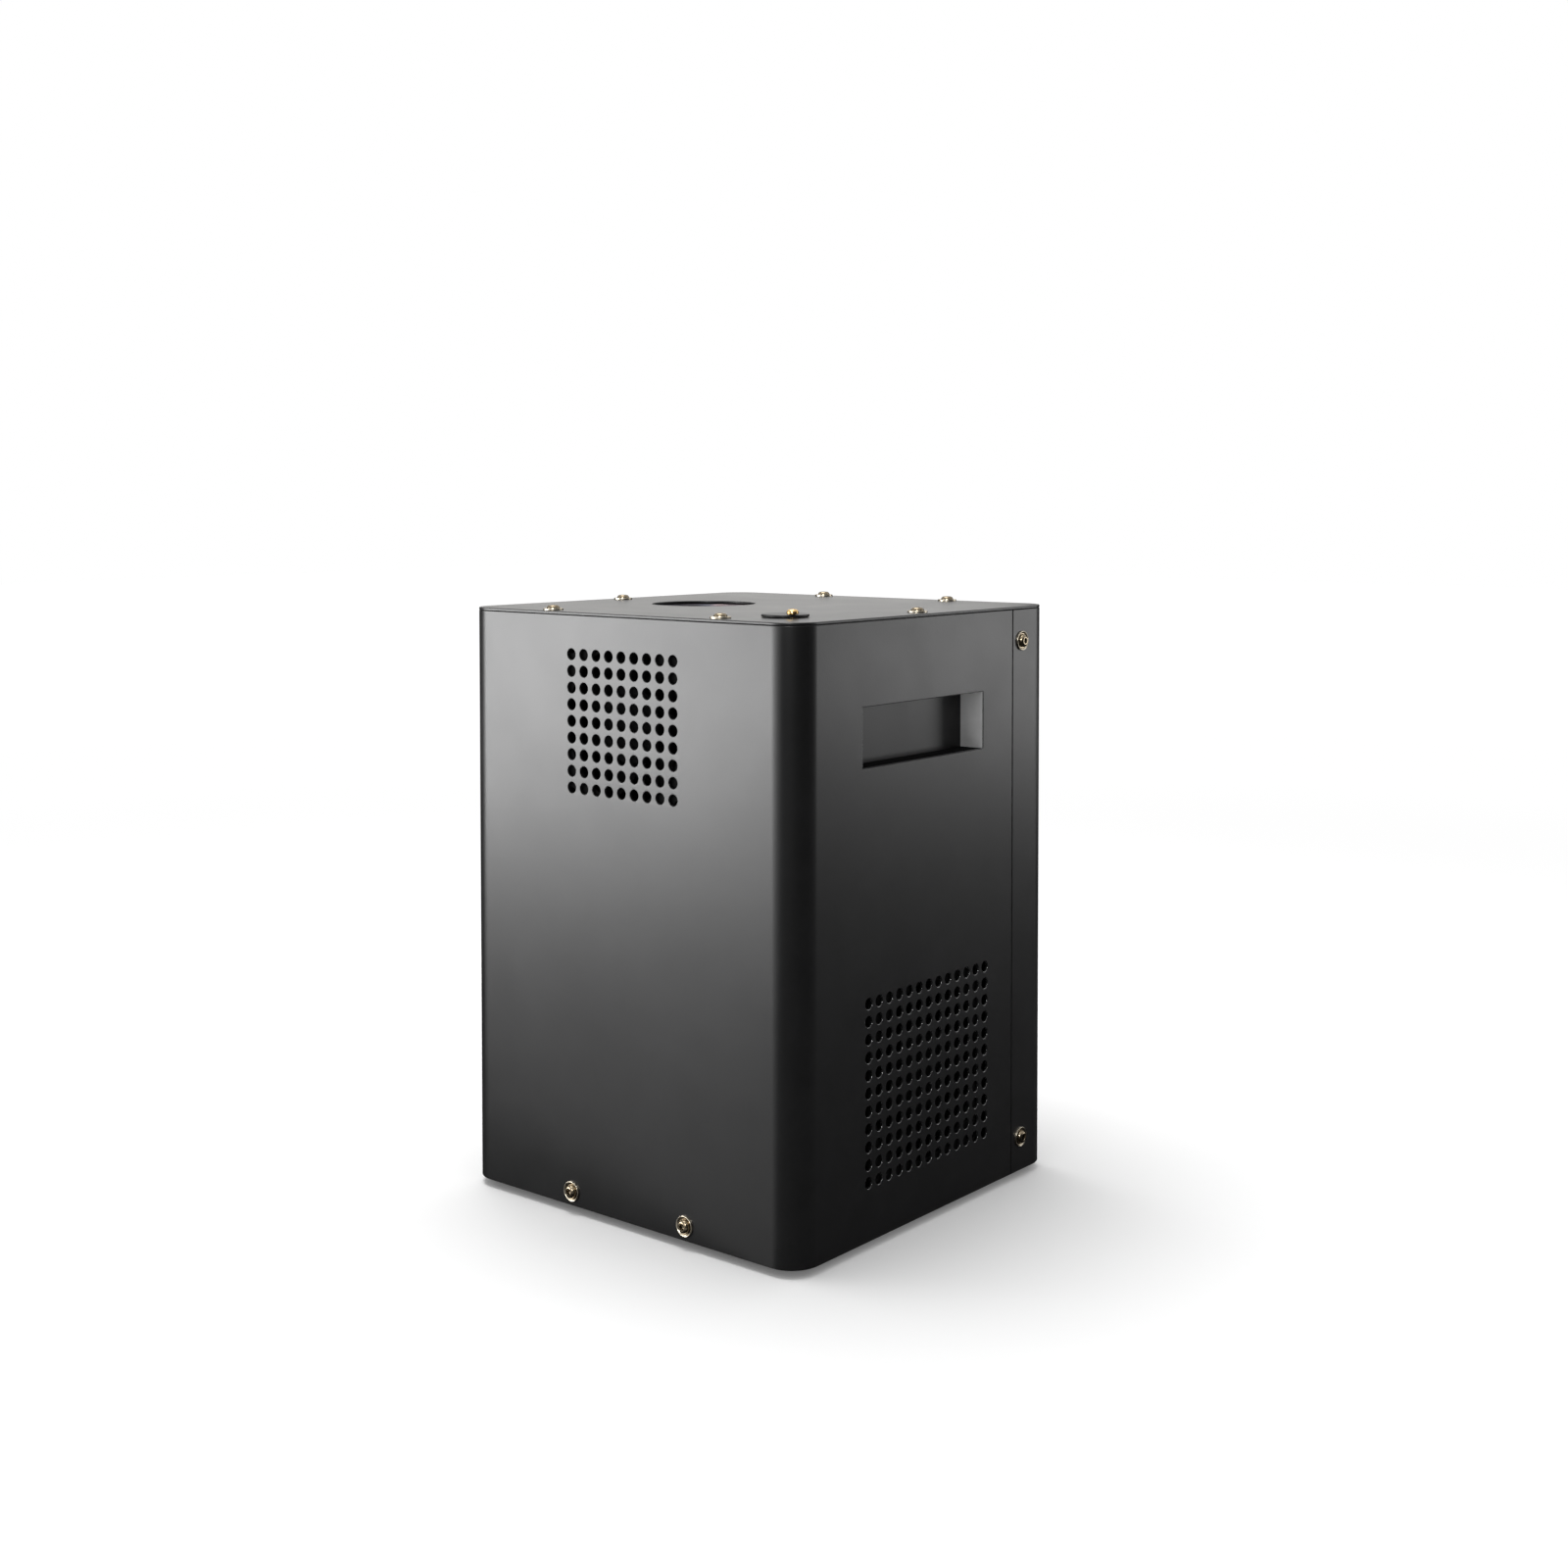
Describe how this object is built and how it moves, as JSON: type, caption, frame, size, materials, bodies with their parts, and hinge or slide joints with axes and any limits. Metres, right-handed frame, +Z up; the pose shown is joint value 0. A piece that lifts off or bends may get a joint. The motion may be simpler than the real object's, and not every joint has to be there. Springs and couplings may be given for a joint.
{
  "type": "cold spark machine",
  "caption": "Upright black sheet-metal spark fountain box with a round top outlet, feed port, vent grids, side handle recesses, and inside a feed auger, heater, blower and fans.",
  "frame": {"origin": "centre of the footprint, on the floor under the rubber feet", "axes": "+Z up, +X to the right seen from the front, +Y to the rear panel"},
  "size_m": [0.2272, 0.2198, 0.3042],
  "materials": {
    "case_black": "satin black powder coat on sheet steel",
    "rubber_black": "matte black rubber",
    "screw_nickel": "polished nickel plate, slightly warm",
    "cover_black": "matte black paint on a thin steel disc",
    "screw_brass": "polished brass",
    "zinc_sheet": "bare zinc-plated sheet",
    "cast_aluminium": "plain machined and cast aluminium",
    "heat_steel": "stainless steel coloured straw and brown by heat",
    "nylon_white": "natural nylon",
    "ceramic_felt": "pressed ceramic fibre",
    "plastic_black": "fine-grained black moulded plastic",
    "rocker_gloss": "glossy black plastic",
    "board_green": "green solder mask with its components",
    "display_dark": "dark display window on its board",
    "button_grey": "matte grey rubber key"
  },
  "bodies": {
    "case": {"base_tray": "case_black", "front_shell": "case_black", "rear_cover": "case_black", "top_plate": "case_black", "handle_cup_right": "case_black", "handle_cup_left": "case_black", "foot_front_left": "rubber_black", "foot_front_right": "rubber_black", "foot_rear_left": "rubber_black", "foot_rear_right": "rubber_black", "wiring_loom": "rubber_black", "top_screw_front_left": "screw_nickel", "top_screw_front_right": "screw_nickel", "top_screw_left": "screw_nickel", "top_screw_right": "screw_nickel", "top_screw_rear_left": "screw_nickel", "top_screw_rear_right": "screw_nickel", "front_screw_left": "screw_nickel", "front_screw_right": "screw_nickel", "side_screw_right_low": "screw_nickel", "side_screw_right_high": "screw_nickel", "side_screw_left_low": "screw_nickel", "side_screw_left_high": "screw_nickel", "feed_cover_screw": "screw_brass", "feed_hopper": "zinc_sheet", "feed_bracket": "zinc_sheet", "partition": "zinc_sheet", "auger_tube": "cast_aluminium", "feed_motor": "cast_aluminium", "heater_band": "cast_aluminium", "air_duct": "cast_aluminium", "blower_motor": "cast_aluminium", "power_supply": "cast_aluminium", "spark_nozzle": "heat_steel", "heater_chamber": "heat_steel", "insulation_jacket": "ceramic_felt", "blower_housing": "plastic_black", "front_fan_frame": "plastic_black", "side_fan_frame": "plastic_black", "control_bezel": "plastic_black", "mains_inlet": "plastic_black", "rocker_frame": "plastic_black", "signal_in_socket": "plastic_black", "signal_out_socket": "plastic_black", "control_board": "board_green", "display_module": "display_dark"},
    "feed_cover": {"feed_cover": "cover_black"},
    "auger": {"feed_auger": "heat_steel", "auger_gear": "nylon_white"},
    "pinion": {"motor_pinion": "screw_brass"},
    "blower_rotor": {"blower_wheel": "cast_aluminium"},
    "front_fan": {"front_fan_rotor": "plastic_black"},
    "side_fan": {"side_fan_rotor": "plastic_black"},
    "rocker": {"power_rocker": "rocker_gloss"},
    "button_1": {"menu_button_1": "button_grey"},
    "button_2": {"menu_button_2": "button_grey"},
    "button_3": {"menu_button_3": "button_grey"},
    "button_4": {"menu_button_4": "button_grey"},
    "latch": {"signal_latch": "screw_nickel"},
    "fuse_drawer": {"fuse_drawer": "plastic_black"}
  },
  "joints": [
    {"name": "feed_cover_swivel", "type": "hinge", "parent": "case", "child": "feed_cover", "pos_m": [0.0827, -0.0756, 0.3003], "axis": [0, 0, 1], "range_deg": [-180, 180]},
    {"name": "auger_spin", "type": "hinge", "parent": "case", "child": "auger", "pos_m": [0, -0.005, 0.15], "axis": [1, 0, 0], "continuous": true},
    {"name": "motor_pinion_spin", "type": "hinge", "parent": "case", "child": "pinion", "pos_m": [0, 0.01935, 0.15], "axis": [1, 0, 0], "continuous": true},
    {"name": "blower_spin", "type": "hinge", "parent": "case", "child": "blower_rotor", "pos_m": [-0.062, 0, 0.055], "axis": [0, -1, 0], "continuous": true},
    {"name": "front_fan_spin", "type": "hinge", "parent": "case", "child": "front_fan", "pos_m": [0.0005, 0, 0.2462], "axis": [0, -1, 0], "continuous": true},
    {"name": "side_fan_spin", "type": "hinge", "parent": "case", "child": "side_fan", "pos_m": [0, -0.0035, 0.075], "axis": [1, 0, 0], "continuous": true},
    {"name": "power_rock", "type": "hinge", "parent": "case", "child": "rocker", "pos_m": [-0.032, 0.1038, 0.062], "axis": [1, 0, 0], "range_deg": [0, 18]},
    {"name": "menu_button_1_press", "type": "slide", "parent": "case", "child": "button_1", "axis": [0, -1, 0], "range_m": [0, 0.0012], "stiffness_N_per_m": 300, "springref_m": -0.001},
    {"name": "menu_button_2_press", "type": "slide", "parent": "case", "child": "button_2", "axis": [0, -1, 0], "range_m": [0, 0.0012], "stiffness_N_per_m": 300, "springref_m": -0.001},
    {"name": "menu_button_3_press", "type": "slide", "parent": "case", "child": "button_3", "axis": [0, -1, 0], "range_m": [0, 0.0012], "stiffness_N_per_m": 300, "springref_m": -0.001},
    {"name": "menu_button_4_press", "type": "slide", "parent": "case", "child": "button_4", "axis": [0, -1, 0], "range_m": [0, 0.0012], "stiffness_N_per_m": 300, "springref_m": -0.001},
    {"name": "signal_latch_press", "type": "slide", "parent": "case", "child": "latch", "axis": [0, -1, 0], "range_m": [0, 0.0015], "stiffness_N_per_m": 400, "springref_m": -0.001},
    {"name": "fuse_drawer_slide", "type": "slide", "parent": "case", "child": "fuse_drawer", "axis": [0, 1, 0], "range_m": [0, 0.016]}
  ],
  "couplings": [
    {"joint": "motor_pinion_spin", "follows": "auger_spin", "ratio": -1.6667}
  ]
}
